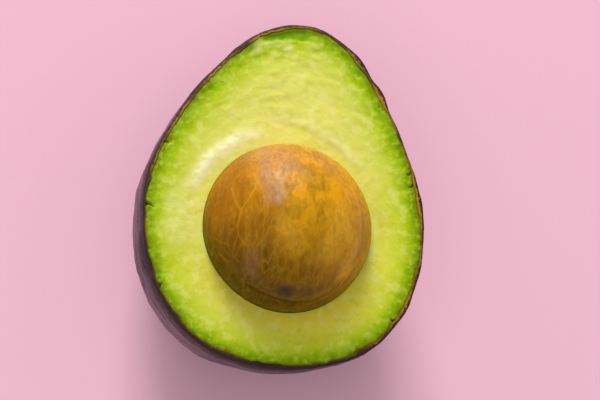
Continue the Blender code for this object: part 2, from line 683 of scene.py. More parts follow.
@dataclass(frozen=True)
class SkinFinish:
    """Dark, pebbled peel with a painted sheen, a pale mauve belt in place of the floor's reflection, and a
    cut edge that is dark outside and brown or golden next to the flesh."""

    dark: Colour = colour(28, 16, 18)
    # Painted sheen: pale mauve in place of the pink floor's reflection, low on the peel's sides.
    painted_sheen: Colour = colour(146, 118, 134)
    groove: Colour = colour(44, 29, 36)
    pebble: Colour = colour(80, 56, 68)
    bronze: Colour = colour(74, 62, 50)
    speck: Colour = colour(118, 92, 80)
    scar: Colour = colour(98, 82, 66)
    edge_dark: Colour = colour(52, 24, 24)
    edge_brown: Colour = colour(74, 46, 10)
    edge_black: Colour = colour(30, 18, 12)
    edge_gold: Colour = colour(164, 124, 10)
    broad: Mottle = Mottle(90.0, 0.52, 0.14)
    fine: Mottle = Mottle(1500.0, 0.55, 0.12)
    specks: Mottle = Mottle(620.0, 0.71, 0.025)
    roughness: float = 0.40
    edge_roughness: float = 0.62

    def material(self, effects: Effects) -> bpy.types.Material:
        """Builds the material.

        Args:
            effects: The shared patterns.

        Returns:
            The material.
        """
        material, bench, shader = new_material("avocado_skin")
        here = bench.place()
        broad, _ = effects.mottle(bench, here, self.broad)
        fine, fine_swell = effects.mottle(bench, here, self.fine)
        specks, _ = effects.mottle(bench, here, self.specks)
        hide = bench.coats(
            self.groove,
            (bench.span(bench.mask("height"), 0.15, 0.85), self.pebble),
            (bench.times(broad, 0.55), self.bronze),
            (bench.times(fine, 0.35), self.groove),
            (bench.times(specks, 0.7), self.speck),
            # The painted sheen, laid over the peel's own colours.
            ("painted_sheen", self.painted_sheen),
            (bench.mask("under", 0.92), self.dark),
            ("scar", self.scar),
        )
        cut = bench.mask("edge")
        across = bench.plus(cut, bench.sway(fine_swell, 1.4))
        brown = bench.mix(bench.mask("shady"), self.edge_brown, self.edge_black)
        gold = bench.mix(bench.mask("gold"), brown, self.edge_gold)
        outer, inner = bench.span(across, 0.30, 0.55), bench.span(across, 0.50, 0.75)
        edge = bench.coats(self.edge_dark, (outer, brown), (inner, gold))
        rough = bench.span(fine_swell, 0.3, 0.7, self.roughness - 0.07, self.roughness + 0.10)
        edge_rough = bench.span(cut, 0.0, 0.1, 0.0, self.edge_roughness)
        bench.feed(shader, {
            "Base Color": bench.mix(bench.span(cut, 0.0, 0.06), hide, edge),
            "Roughness": bench.math("MAXIMUM", rough, edge_rough),
            "Specular IOR Level": 0.30,
            "Normal": bench.bumps(fine_swell, 0.3, 0.2 * MM),
        })
        return material


@dataclass(frozen=True)
class FleshFinish:
    """Moist cut flesh: green under the skin, yellow-green inward, cream about the stone. In the stone's
    shadow, on the side away from the stem, painted fill light lightens it and painted bounce light turns it
    yellow-orange. A painted highlight lies on the ridge and the shoulder by the stone, and painted shade
    along the groove.
    """

    shades: tuple[tuple[float, Colour], ...] = (
        (0.000, colour(112, 116, 2)),
        (0.040, colour(112, 136, 0)),
        (0.090, colour(130, 162, 2)),
        (0.150, colour(152, 184, 10)),
        (0.230, colour(176, 199, 34)),
        (0.330, colour(197, 207, 56)),
        (0.480, colour(212, 213, 76)),
        (0.650, colour(221, 217, 92)),
        (1.000, colour(225, 219, 98)),
    )
    reach: float = 20.0 * MM
    cream: Colour = colour(236, 231, 148)
    # Painted fill light: a lighter yellow for the flesh in the stone's shadow.
    bright: Colour = colour(252, 236, 66)
    # Painted bounce light: the yellow-orange that light from the stone would give the flesh in its shadow.
    warm_and_painted_glow: Colour = colour(214, 184, 18)
    speck: Colour = colour(222, 220, 96)
    lime: Colour = colour(204, 205, 36)
    leaf: Colour = colour(106, 148, 0)
    # Painted shade along the groove by the stone, and a duller yellow on the stem end's raised smears.
    hollow: Colour = colour(206, 200, 36)
    # Cream of the torn strip. On the ridge and the shoulder by the stone it is also a painted highlight.
    torn: Colour = colour(246, 242, 190)
    stain: Colour = colour(136, 104, 6)
    nick: Colour = colour(70, 74, 14)
    pocket: Colour = colour(170, 160, 40)
    wander: Mottle = Mottle(260.0, 0.5, 0.2)
    smears: Mottle = Mottle(230.0, 0.54, 0.16, 0.0)
    flecks: Mottle = Mottle(380.0, 0.57, 0.07, 0.0)
    leaves: Mottle = Mottle(470.0, 0.63, 0.06, 0.0)
    crumbs: Mottle = Mottle(720.0, 0.60, 0.09, 0.0)
    smear_turn: float = math.radians(-6)
    roughness: float = 0.42

    def material(self, effects: Effects) -> bpy.types.Material:
        """Builds the material.

        Args:
            effects: The shared patterns.

        Returns:
            The material.
        """
        material, bench, shader = new_material("avocado_flesh")
        here = bench.place()
        drawn_out = bench.place((0.4, 1.0, 1.0), (0, 0, self.smear_turn))
        depth = bench.mask("from_skin")
        _, wander_swell = effects.mottle(bench, here, self.wander)
        smears, smear_swell = effects.mottle(bench, drawn_out, self.smears)
        flecks, fleck_swell = effects.mottle(bench, here, self.flecks)
        leaves, _ = effects.mottle(bench, here, self.leaves)
        crumbs, crumb_swell = effects.mottle(bench, here, self.crumbs)

        near = bench.span(depth, 9 * MM, 2 * MM)
        broken = bench.plus(bench.sway(fleck_swell, 3.8 * MM), bench.sway(crumb_swell, 2.2 * MM))
        swayed = bench.times(depth, bench.plus(bench.sway(wander_swell, 0.45), 1.0))
        shifted = bench.plus(swayed, bench.times(broken, near))
        share = bench.add("Math", {0: shifted, 1: 1 / self.reach}, operation="MULTIPLY", use_clamp=True)
        inner = bench.span(depth, 1.5 * MM, 6.0 * MM, 0.12, 1.0)
        outer = bench.span(depth, 0.3 * MM, 1.2 * MM)
        base = bench.coats(
            bench.ramp(share.outputs[0], self.shades),
            # Painted fill light in the stone's shadow.
            (bench.mask("pale", 0.55), self.bright),
            # Painted bounce light from the stone, on the side away from the stem.
            ("warm_and_painted_glow", self.warm_and_painted_glow),
            (bench.times(smears, inner, 0.30), self.lime),
            (bench.times(flecks, inner, 0.32), self.cream),
            (bench.times(leaves, inner, 0.60), self.lime),
            (bench.times(crumbs, outer, 0.25), self.speck),
            (bench.mask("teeth", 0.55), self.leaf),
            ("leafy", self.leaf),
            # Painted shade along the groove, and a duller yellow on the stem end's smears.
            (bench.mask("hollow", 0.60), self.hollow),
            # The torn strip and paler patches, and the painted highlight on the ridge and the shoulder.
            ("torn", self.torn),
            ("stain", self.stain),
            ("nick", self.nick),
            ("pocket", self.pocket),
        )
        wet = bench.span(wander_swell, 0.35, 0.65, self.roughness - 0.10, self.roughness + 0.12)
        height = bench.plus(fleck_swell, bench.times(crumb_swell, 0.45), bench.times(smear_swell, 0.8))
        bench.feed(shader, {
            "Base Color": base,
            # Rougher under the torn mask, so that the painted highlight on the ridge stands in for a glossy
            # one.
            "Roughness": bench.plus(wet, bench.mask("torn", 0.12)),
            "Subsurface Weight": 0.25,
            "Subsurface Radius": (1.0, 0.85, 0.2),
            "Subsurface Scale": 1.2 * MM,
            "Specular IOR Level": 0.22,
            "Specular Tint": (1.0, 1.0, 0.25, 1.0),
            "Normal": bench.bumps(height, 0.35, 0.3 * MM),
        })
        return material


@dataclass(frozen=True)
class StoneFinish:
    """The moist seed coat: golden orange, with paler veins and streaks and a grey-brown scar. It is duller
    and olive low on the side away from the stem, the coat's colour and painted shade. It has painted
    highlight and sheen streaks on top, a painted reflection on its band, painted shade in its crease and a
    painted glow where it meets the flesh."""

    amber: Colour = colour(219, 151, 0)
    tan: Colour = colour(186, 132, 16)
    umber: Colour = colour(122, 76, 0)
    # Olive: the coat's colour and painted shade, low on the side away from the stem.
    olive: Colour = colour(98, 76, 0)
    rust: Colour = colour(142, 82, 0)
    vein: Colour = colour(212, 152, 24)
    streak: Colour = colour(192, 146, 32)
    # Pinkish tan: painted highlight streaks along the lamp's highlight on top, painted sheen low on the
    # left, and a patch of the coat's colour on the right of the stem side.
    lilac_and_painted_sheen: Colour = colour(165, 119, 88)
    # Painted highlight: a paler, pinker streak where the lamp's highlight lies on the stone's top.
    pale: Colour = colour(180, 146, 116)
    sand: Colour = colour(238, 176, 44)
    murk: Colour = colour(84, 64, 24)
    dark: Colour = colour(64, 44, 4)
    # Painted reflection: the peach line on the raised band, where the coat catches the pink floor at
    # grazing angles.
    band: Colour = colour(222, 166, 96)
    scar: Colour = colour(66, 46, 40)
    # Painted shade in the crease, over its sunken relief.
    crease: Colour = colour(60, 42, 8)
    cloudy: Mottle = Mottle(170.0, 0.5, 0.10, 0.5)
    blotch: Mottle = Mottle(330.0, 0.54, 0.09, 0.6)
    dust: Mottle = Mottle(1150.0, 0.54, 0.09, 0.0)
    combed: Fibres = Fibres(560.0, 9.0, 0.2)
    web: Fibres = Fibres(300.0, 22.0, 0.5)
    roughness: float = 0.38

    def material(self, effects: Effects) -> bpy.types.Material:
        """Builds the material.

        Args:
            effects: The shared patterns.

        Returns:
            The material.
        """
        material, bench, shader = new_material("avocado_stone")
        drawn = bench.place((1.0, 0.5, 0.7))
        cloudy, _ = effects.mottle(bench, bench.place(), self.cloudy)
        blotch, blotch_swell = effects.mottle(bench, drawn, self.blotch)
        dust, dust_swell = effects.mottle(bench, drawn, self.dust)
        lines = effects.fibres(bench, bench.place((1.0, 0.22, 0.5)), self.combed)
        web = effects.fibres(bench, bench.place((1.0, 0.4, 0.7)), self.web)
        paint = bench.coats(
            self.amber,
            (cloudy, self.tan),
            (bench.times(blotch, 0.42), self.umber),
            # The golden right side, and the painted glow where the stone meets the flesh.
            ("warm_and_painted_glow", self.amber),
            ("rust", self.rust),
            # Darker low on the side away from the stem and the lamp: the coat's colour and painted shade.
            ("dull", self.umber),
            ("olive", self.olive),
            ("murk", self.murk),
            # Painted highlight and sheen in pinkish tan.
            ("lilac_and_painted_sheen", self.lilac_and_painted_sheen),
            ("sand", self.sand),
            # The painted highlight's paler streak.
            ("pale", self.pale),
            ("dark", self.dark),
            (bench.times(dust, 0.26), self.umber),
            (bench.times(lines, bench.span(bench.mask("streaky"), 0.0, 1.0, 0.12, 0.45)), self.streak),
            (bench.times(web, 0.18), self.vein),
            (bench.mask("net", 0.10), self.vein),
            (bench.mask("vein", 0.70), self.vein),
            # The band's painted reflection.
            ("band", self.band),
            ("scar", self.scar),
            # Painted shade in the crease.
            ("crease", self.crease),
        )
        height = bench.plus(bench.times(lines, 0.35), dust_swell, bench.times(blotch_swell, 1.2))
        bench.feed(shader, {
            "Base Color": paint,
            "Roughness": bench.span(dust_swell, 0.3, 0.7, self.roughness - 0.06, self.roughness + 0.10),
            "Subsurface Weight": 0.08,
            "Subsurface Radius": (1.0, 0.45, 0.12),
            "Subsurface Scale": 1.0 * MM,
            "Specular IOR Level": 0.20,
            "Specular Tint": (0.90, 0.80, 0.42, 1.0),
            "Normal": bench.bumps(height, 0.35, 0.22 * MM),
        })
        return material


@dataclass
class Skin:
    """The peel: a pebbled bowl with a ragged cut edge and a corky scar where the stem was."""

    form: FruitForm
    around: int = 600
    back_rings: int = 128
    edge_rings: int = 14
    inner_rings: int = 12
    pebble: float = 2.7 * MM
    pebble_relief: float = 0.24 * MM
    crease_relief: float = 0.30 * MM
    wart: float = 1.3 * MM
    wart_relief: float = 0.05 * MM
    swell_size: float = 13 * MM
    swell_relief: float = 0.40 * MM
    knob_size: float = 4.5 * MM
    knob_share: float = 0.8
    knob_extra: float = 0.75
    knob_side: float = math.radians(45)
    knob_half: float = math.radians(42)
    edge_round: float = 0.24 * MM
    edge_fray: float = 0.10 * MM
    tuck: float = 0.07 * MM
    scar_radius: float = 3.0 * MM
    scar_depth: float = 0.9 * MM
    scar_ring: float = 0.30 * MM
    scar_dimple: float = 0.35 * MM
    scar_dip: float = math.radians(17)
    shady_side: float = math.radians(236)
    core: Triple = (0.0, 5 * MM, -8 * MM)

    def build(self) -> bpy.types.Object:
        """Builds the skin from its outer back, its cut edge and its inner back.

        Returns:
            The object.
        """
        form = self.form
        angle = np.linspace(0, TURN, self.around, endpoint=False)[None, :]
        outer, height, scar = self._outer_back(angle)
        band = form.cut_band(angle)
        across = np.linspace(0, 1, self.edge_rings)[:, None]
        edge = self._cut_edge(angle, across, outer[-1], band)
        parts = (outer, edge, self._inner_back(angle, band))
        values = {
            "height": (height, 1.0, 1.0),
            "scar": (scar, 0.0, 0.0),
            "edge": (0.0, across, 1.0),
            "under": (self._under_edge(outer), 0.0, 0.0),
            # Where the painted sheen lies: on the outside only.
            "painted_sheen": (self._bloom(outer), 0.0, 0.0),
            "gold": (0.0, self._gold(edge), 1.0),
            "shady": (0.0, self._shady(edge), 0.0),
        }
        masks = {name: joined(parts, value) for name, value in values.items()}
        poles = (form.placed(form.bottom(0.0)), form.placed(form.bottom(form.skin_thickness)))
        return closed_stack("skin_peel", form.placed(np.concatenate(parts)), poles, masks)

    def _outer_back(self, angle: np.ndarray) -> tuple[np.ndarray, np.ndarray, np.ndarray]:
        """The outside, from the flat spot up to the cut edge: the form's back, moved along its normal by
        the cobbles' height about their middle, finer warts, creases drawn round the fruit, broad swells
        with knobs on them, most towards the right of the stem end, and the stem scar. Where it moves
        outwards by p, room * tanh(p / room) keeps it inside the solid's box.

        Args:
            angle: The ellipse's angles, as a row.

        Returns:
            Points, the pebbles' height from 0 to 1, and where the stem scar is, from 0 to 1.
        """
        top = math.asin(self.edge_round / self.form.depth)
        dip = np.linspace(math.pi / 2 * 0.992, top, self.back_rings)[:, None]
        smooth = self.form.back(angle, dip, self.tuck * np.cos(dip))
        grain = Grain(3)
        wavy = smooth + 0.5 * MM * grain.wander(smooth, 2.2 * MM, 0.1)
        between, name = grain.cobbles(wavy, self.pebble)
        dome = 1 - (1 - np.clip(between / 0.75, 0, 1)) ** 2
        height = dome * (0.55 + 0.45 * name)
        small, _ = Grain(5).cobbles(wavy, self.wart)
        warts = 1 - np.clip(small / 0.6, 0, 1)
        knobby = self.knob_share + self.knob_extra * bell(
            wrapped(angle - self.knob_side, TURN), 0.0, self.knob_half
        )
        swell = -0.2 - Grain(8).cloud(smooth, self.swell_size, 2)
        swell = swell - knobby * Grain(10).cloud(smooth, self.knob_size)
        belt = triple(angle * 40 * MM, smooth[..., 2], 0.0)
        drawn = Grain(14).cloud(belt, (11 * MM, 3.2 * MM, 1.0), 2)
        scar, hollow = self._stem_scar(smooth)
        rough = 0.6 + 0.6 * fade(dip, 0.2, 0.8)
        press = self.pebble_relief * rough * (0.6 - height) * (1 - 0.6 * scar)
        press = press + self.wart_relief * (warts - 0.3)
        press = press + self.crease_relief * np.maximum(drawn, -0.2) * fade(dip, 0.9, 0.3)
        press = (press + self.swell_relief * swell) * (0.7 + 0.3 * fade(dip, 0.0, 0.08)) + hollow
        normal = outward(smooth)
        facing = np.sign((normal * (smooth - np.array(self.core))).sum(axis=-1, keepdims=True))
        spare = np.min(self.form.reach - np.abs(self.form.placed(smooth)[..., :2]), axis=-1)
        room = np.maximum(spare - self.tuck, 0.001 * MM)
        press = np.where(press < 0, room * np.tanh(press / room), press)
        points = smooth - facing * normal * press[..., None]
        points[..., 2] = np.maximum(points[..., 2], self.form.bottom(0.0)[2])
        points[-1, :, 2] = -self.edge_round
        return points, height, scar

    def _stem_scar(self, points: np.ndarray) -> tuple[np.ndarray, np.ndarray]:
        """A round scar below the stem end: a hollow with a raised ring, as functions of the distance from
        its middle.

        Args:
            points: Points of the outside.

        Returns:
            Where the scar is, from 0 to 1, and how far it is pressed in.
        """
        middle = self.form.back(np.array([[math.pi / 2]]), np.array([[self.scar_dip]]), 0.0)[0, 0]
        away = np.linalg.norm(points - middle, axis=-1) / self.scar_radius
        corky = 0.8 + 0.2 * Grain(9).cloud(points, 0.8 * MM)
        hollow = self.scar_depth * fade(away, 1.0, 0.55) * corky
        dimple = self.scar_dimple * fade(away, 3.0, 1.0)
        return fade(away, 1.15, 0.85), hollow + dimple - self.scar_ring * bell(away, 1.0, 0.22)

    def _cut_edge(
        self, angle: np.ndarray, across: np.ndarray, outer: np.ndarray, band: np.ndarray
    ) -> np.ndarray:
        """The cut edge: straight across from the outside to the inside in plan, its outer corner rounded
        by edge_round * (1 - w)^3 and its top a little frayed.

        Args:
            angle: The ellipse's angles, as a row.
            across: w, from 0 outside to 1 inside, as a column.
            outer: The last ring of the outside.
            band: The cut edge's width at each angle.

        Returns:
            Points.
        """
        inner_x, inner_y = self.form.outline(angle, band)
        x = outer[:, 0] * (1 - across) + inner_x * across
        y = outer[:, 1] * (1 - across) + inner_y * across
        frayed = self.edge_fray * Grain(13).cloud(triple(x, y, 0.0), 0.9 * MM, 2) * np.sin(math.pi * across)
        return triple(x, y, np.minimum(frayed, 0.0) - self.edge_round * (1 - across) ** 3)

    def _inner_back(self, angle: np.ndarray, band: np.ndarray) -> np.ndarray:
        """The inside: the form's back at the peel's thickness, or the cut edge's width at the top.

        Args:
            angle: The ellipse's angles, as a row.
            band: The cut edge's width at each angle.

        Returns:
            Points.
        """
        dip = np.linspace(0.012, math.pi / 2 * 0.97, self.inner_rings)[:, None]
        inset = band + (self.form.skin_thickness - band) * fade(dip, 0.0, 0.25)
        return self.form.back(angle, dip, inset)

    @staticmethod
    def _under_edge(points: np.ndarray) -> np.ndarray:
        """The dark band of the outside just under the cut edge, uneven in its depth."""
        uneven = points[..., 2] + 0.9 * MM * Grain(19).cloud(points, 5 * MM, 2)
        return fade(uneven, -3.2 * MM, -1.2 * MM)

    @staticmethod
    def _bloom(points: np.ndarray) -> np.ndarray:
        """Painted sheen on the outside, in place of the pink floor's reflection: a broken pale mauve belt
        below the dark band, drawn out round the fruit.

        Args:
            points: Points of the outside.

        Returns:
            Where it is, from 0 to 1.
        """
        z = points[..., 2]
        belt = triple(np.arctan2(points[..., 1], points[..., 0]) * 30 * MM, z, 0.0)
        streaks = 0.6 + 0.7 * Grain(15).cloud(belt, (7 * MM, 1.3 * MM, 1.0), 2)
        patches = 0.7 + 0.6 * Grain(18).cloud(points, 8 * MM, 2)
        depth = fade(z, -2.0 * MM, -5.0 * MM) * (0.25 + 0.75 * fade(z, -17 * MM, -9 * MM))
        return np.clip(0.85 * depth * streaks * patches, 0, 1)

    def _gold(self, points: np.ndarray) -> np.ndarray:
        """Where the inner half of the cut edge is golden and not brown: patches along the edge, and fewer
        of them on the shady stretch."""
        patchy = fade(Grain(17).cloud(points * np.array([1, 1, 0]), 5 * MM, 3), -0.5, 0.25)
        return patchy * (1 - 0.85 * self._shady(points))

    def _shady(self, points: np.ndarray) -> np.ndarray:
        """The stretch of the cut edge, low on the left, that is nearly black."""
        turn = np.arctan2(points[..., 1], points[..., 0])
        return fade(np.cos(turn - self.shady_side), 0.0, 0.7)


@dataclass(frozen=True)
class Arc:
    """A mark that runs round the stone: its angle and radius at each end, its half width, and its height
    above the cut face, or depth if negative."""

    start: float
    end: float
    start_radius: float
    end_radius: float
    width: float
    height: float

    def over(self, radius: np.ndarray, polar: np.ndarray) -> np.ndarray:
        """The mark as a mask: a bell across it, which dies away at its ends.

        Args:
            radius: Distances from the stone's axis.
            polar: Directions about it, in degrees.

        Returns:
            Values from 0 to 1.
        """
        along = (polar - self.start) / (self.end - self.start)
        middle = self.start_radius + (self.end_radius - self.start_radius) * along
        return bell(radius, middle, self.width) * fade(along, -0.12, 0.2) * fade(along, 1.12, 0.8)


@dataclass(frozen=True)
class Nick:
    """A small tear in the flesh that starts at the skin: its direction in degrees, its length and its half
    width."""

    polar: float
    length: float
    width: float


@dataclass
class Flesh:
    """The flesh: smooth against the skin, and on top the face that the knife left, with its smears, teeth,
    torn ledge and the lip round the stone."""

    form: FruitForm
    around: int = 768
    back_rings: int = 12
    face_rings: int = 96
    lip_rings: int = 8
    pocket_rings: int = 10
    rim_gap: float = 0.04 * MM
    lip_round: float = 0.12 * MM
    lip_inset: float = 0.02 * MM
    lip_loose: float = 0.04 * MM
    swell_relief: float = 0.22 * MM
    crumb_relief: float = 0.06 * MM
    rim_drop: float = 0.18 * MM
    rim_slope: float = 0.08 * MM
    tooth_depth: float = 0.16 * MM
    smear_relief: float = 0.09 * MM
    facet_depth: float = 0.50 * MM
    torn_relief: float = 0.15 * MM
    nick_depth: float = 0.8 * MM
    ridge: Arc = Arc(106, 158, 24.8 * MM, 26.0 * MM, 1.9 * MM, 0.26 * MM)
    groove: Arc = Arc(36, 96, 23.8 * MM, 26.4 * MM, 0.9 * MM, -0.12 * MM)
    shoulder: Arc = Arc(40, 98, 25.6 * MM, 28.2 * MM, 1.0 * MM, 0.09 * MM)
    nicks: tuple[Nick, ...] = (
        Nick(173, 2.8 * MM, 0.45 * MM),
        Nick(147, 1.8 * MM, 0.40 * MM),
        Nick(27, 2.2 * MM, 0.30 * MM),
        Nick(22, 2.4 * MM, 0.30 * MM),
        Nick(322, 1.2 * MM, 0.30 * MM),
        Nick(206, 1.3 * MM, 0.40 * MM),
    )
    ledge_at: float = 48.3 * MM
    ledge_bend: float = 5.0
    ledge_half: float = 8.5 * MM
    smear_bend: float = 15.0
    smear_middle: float = 3 * MM

    def build(self) -> bpy.types.Object:
        """Builds the flesh from its back, its cut face, the lip and the pocket.

        Returns:
            The object.
        """
        form = self.form
        polar = np.linspace(0, TURN, self.around, endpoint=False)[None, :]
        angle = form.at_polar(polar)
        band = form.cut_band(angle)
        face, masks = self._cut_face(polar, angle, band)
        pocket, pocket_mask = self._pocket(polar, face[-1])
        parts = (self._back(angle, band), face, pocket)
        stored = {name: joined(parts, (0.0, mask, mask[-1:])) for name, mask in masks.items()}
        stored["pocket"] = joined(parts, (0.0, 0.0, pocket_mask))
        deepest = form.stone_middle - np.array([0, 0, form.stone_half[2] + form.gap])
        poles = (form.placed(form.bottom(form.skin_thickness + form.gap)), deepest)
        return closed_stack("flesh_half", form.placed(np.concatenate(parts)), poles, stored)

    def _back(self, angle: np.ndarray, band: np.ndarray) -> np.ndarray:
        """The hidden back, a little inside the skin's inner surface, from the bottom to the cut edge.

        Args:
            angle: The ellipse angles of the outline.
            band: The skin's cut width there.

        Returns:
            Points.
        """
        form = self.form
        dip = np.linspace(math.pi / 2 * 0.97, 0.02, self.back_rings)[:, None]
        rim = band + self.rim_gap
        return form.back(angle, dip, rim + (form.skin_thickness + form.gap - rim) * fade(dip, 0.0, 0.25))

    def _cut_face(self, polar: np.ndarray, angle: np.ndarray, band: np.ndarray) -> tuple[np.ndarray, dict]:
        """The cut face: rays from the skin to the stone, lifted by the knife's marks.

        Args:
            polar: Directions about the stone's axis, as a row.
            angle: The ellipse angles of the outline in those directions.
            band: The skin's cut width there.

        Returns:
            Points, and masks for the material by name.
        """
        x, y = self.form.outline(angle, band + self.rim_gap)
        rim = np.hypot(x, y)
        lip = self._lip_radius(polar) + self.lip_round
        along = np.linspace(0, 1, self.face_rings)[:, None]
        radius = rim + (lip - rim) * along**1.15
        plan = triple(radius * np.cos(polar), radius * np.sin(polar), 0.0)
        from_skin = rim - radius
        height, masks = self._marks(plan, from_skin, radius, polar)
        # The colour run stretched by direction. On the side away from the stem the flesh turns yellow
        # sooner, painted light in the stone's shadow. Elsewhere the stretch sets the width of the flesh's
        # green band.
        turned = 1.05 - 0.21 * np.sin(polar) - 0.05 * np.cos(polar)
        masks["from_skin"] = (from_skin + 0.4 * MM) * turned
        return triple(plan[..., 0], plan[..., 1], height), masks

    def _marks(
        self, plan: np.ndarray, from_skin: np.ndarray, radius: np.ndarray, polar: np.ndarray
    ) -> tuple[np.ndarray, dict[str, np.ndarray]]:
        """The knife's marks as a height over the cut face, the sum of: swells and fine crumbs, a drop at
        the skin, radial teeth along it, nicks, the marks at the stem end, and the ridge, the groove and
        the shoulder beyond it round the stone. It is calmer next to the lip.

        Args:
            plan: Points of the flat face.
            from_skin: Distances from the skin.
            radius: Distances from the stone's axis.
            polar: Directions about it, as a row.

        Returns:
            The height, and masks by name.
        """
        x, y = plan[..., 0], plan[..., 1]
        degrees = np.degrees(polar) + 0 * radius
        grain = Grain(21)
        teeth = self._teeth(plan, from_skin, polar, degrees)
        nick = self._nick_mask(degrees, radius, from_skin)
        stem_height, upper, smear, facet, torn = self._stem_marks(plan, from_skin)

        strayed = radius + 0.7 * MM * grain.cloud(plan, 4 * MM, 2)
        broken = 0.65 + 0.5 * grain.cloud(plan + 0.03, 3 * MM, 2)
        ridge = self.ridge.over(strayed, degrees) * (0.9 + 0.3 * grain.cloud(plan + 0.06, 3 * MM, 2))
        ridge = ridge * (0.55 + 0.45 * fade(degrees, 112.0, 134.0))
        groove = self.groove.over(strayed, degrees) * broken
        shoulder = self.shoulder.over(strayed, degrees) * broken

        height = self.swell_relief * grain.cloud(plan, 9 * MM, 2)
        height = height + self.crumb_relief * grain.cloud(plan, 1.6 * MM, 2)
        height = height - self.rim_drop * fade(from_skin, 0.6 * MM, 0.0)
        height = height - self.rim_slope * fade(from_skin, 4 * MM, 0.5 * MM)
        height = height - self.tooth_depth * teeth - self.nick_depth * nick + stem_height
        for arc, mark in ((self.ridge, ridge), (self.groove, groove), (self.shoulder, shoulder)):
            height = height + arc.height * mark
        height = height * (0.35 + 0.65 * fade(radius, 21.6 * MM, 23.6 * MM))

        flecked = fade(grain.cloud(plan + 0.01, (1.6 * MM, 0.8 * MM, 1.0), 2), -0.5, 0.3)
        # Cream flecks on the ridge and the shoulder, and with them a painted highlight in place of the wet
        # lip's gloss.
        bright = (1.40 * ridge + 0.5 * shoulder) * (0.45 + 0.55 * flecked)
        pale = np.clip(0.32 * torn * fade(smear, 0.0, 0.5) + bright, 0, 1)
        left = fade(np.hypot(x + 29 * MM, y - 2 * MM), 11 * MM, 3 * MM) * fade(from_skin, 3 * MM, 6 * MM)
        chalky = 0.10 * fade(y, 2 * MM, 22 * MM) * fade(from_skin, 4 * MM, 10 * MM)
        chalky = chalky + 0.16 * left * (0.5 + flecked)
        uneven = from_skin + 0.40 * MM * Grain(24).cloud(plan, 0.9 * MM, 2)
        base_side = fade(np.cos(polar - math.radians(262)), 0.2, 0.9)
        masks = {
            "teeth": teeth,
            "leafy": np.clip(facet * (0.7 + 0.5 * smear) + self._shaded_edge(degrees, from_skin), 0, 1),
            # Painted fill light: lighter flesh on the side away from the stem, in the stone's shadow.
            "pale": bell(wrapped(degrees - 295), 0.0, 42.0) * fade(from_skin, 2 * MM, 9 * MM),
            # Painted bounce light: near the stone, on the side away from the stem, in the stone's shadow.
            "warm_and_painted_glow": 0.55 * base_side * fade(radius, 27 * MM, 21 * MM),
            # Painted shade along the groove, and a duller yellow on the stem end's raised smears.
            "hollow": np.clip(groove + 0.55 * upper * fade(smear, 0.25, 0.65), 0, 1),
            # The torn strip, paler patches high up and on the left, and the ridge's painted highlight.
            "torn": np.clip(pale + chalky, 0, 1),
            "stain": 0.85 * fade(uneven, 0.36 * MM, 0.08 * MM),
            "nick": nick,
        }
        return height, masks

    @staticmethod
    def _teeth(
        plan: np.ndarray, from_skin: np.ndarray, polar: np.ndarray, degrees: np.ndarray
    ) -> np.ndarray:
        """Short radial teeth along the skin, most of them on the two long sides: a noise drawn out along
        the rays, cut off at a level.

        Args:
            plan: Points of the flat face.
            from_skin: Distances from the skin.
            polar: Directions about the stone's axis, as a row.
            degrees: The same for each point, in degrees.

        Returns:
            Where they are, from 0 to 1.
        """
        rim_place = triple(degrees * 0.62 * MM, from_skin * 0.22, 0.0)
        combed = 0.6 * Grain(23).cloud(rim_place, 0.7 * MM, 2) + 0.5 * Grain(21).cloud(plan, 1.1 * MM, 2)
        sides = 0.35 + 0.65 * np.abs(np.cos(polar)) ** 1.5
        return fade(combed, 0.0, 0.45) * fade(from_skin, 4.0 * MM, 0.3 * MM) * sides

    def _stem_marks(self, plan: np.ndarray, from_skin: np.ndarray) -> tuple[np.ndarray, ...]:
        """The marks at the stem end: smears drawn out across it, the facet beyond the ledge, which the
        knife cut deeper, and the torn strip before it.

        Args:
            plan: Points of the flat face.
            from_skin: Distances from the skin.

        Returns:
            The height, then where the stem end is, the smears from -1 to 1, the facet and the torn strip.
        """
        x, y = plan[..., 0], plan[..., 1]
        arched = y + self.smear_bend * (x - self.smear_middle) ** 2
        smear = Grain(25).cloud(triple(x / 2.6, arched, 0.0), 1.5 * MM, 2)
        upper = fade(y, 20 * MM, 32 * MM)
        beyond = y - self.ledge_at + self.ledge_bend * x**2 - 0.6 * MM * Grain(27).cloud(plan, 2.0 * MM, 2)
        aside = fade(np.abs(x), self.ledge_half, 0.5 * self.ledge_half)
        facet = fade(beyond, -0.3 * MM, 1.0 * MM) * aside
        beside = fade(np.abs(x - self.smear_middle), 15 * MM, 8 * MM)
        torn = bell(beyond, -2.6 * MM, 2.4 * MM) * beside * fade(y, 38 * MM, 42 * MM)
        height = self.smear_relief * smear * upper + self.torn_relief * torn * smear
        height = height - self.facet_depth * facet * fade(from_skin, 0.2 * MM, 1.2 * MM)
        return height, upper, smear, facet, torn

    @staticmethod
    def _shaded_edge(degrees: np.ndarray, from_skin: np.ndarray) -> np.ndarray:
        """The darker green along the thick stretch of the cut edge, on the right of the stem end."""
        return 0.8 * bell(degrees, 66.0, 6.5) * fade(from_skin, 2.2 * MM, 0.3 * MM)

    def _nick_mask(self, degrees: np.ndarray, radius: np.ndarray, from_skin: np.ndarray) -> np.ndarray:
        """The nicks: wedges that narrow from the skin to nothing at their length.

        Args:
            degrees: Directions about the stone's axis, in degrees.
            radius: Distances from it.
            from_skin: Distances from the skin.

        Returns:
            Where they are, from 0 to 1.
        """
        total = np.zeros_like(radius)
        for nick in self.nicks:
            aside = np.radians(wrapped(degrees - nick.polar)) * radius
            aside = aside + 0.35 * MM * np.sin(from_skin / (0.5 * MM))
            taper = np.clip(1 - from_skin / nick.length, 0.02, 1)
            along = fade(from_skin, nick.length, 0.4 * nick.length)
            total = np.maximum(total, bell(aside, 0.0, nick.width * taper) * along)
        return total

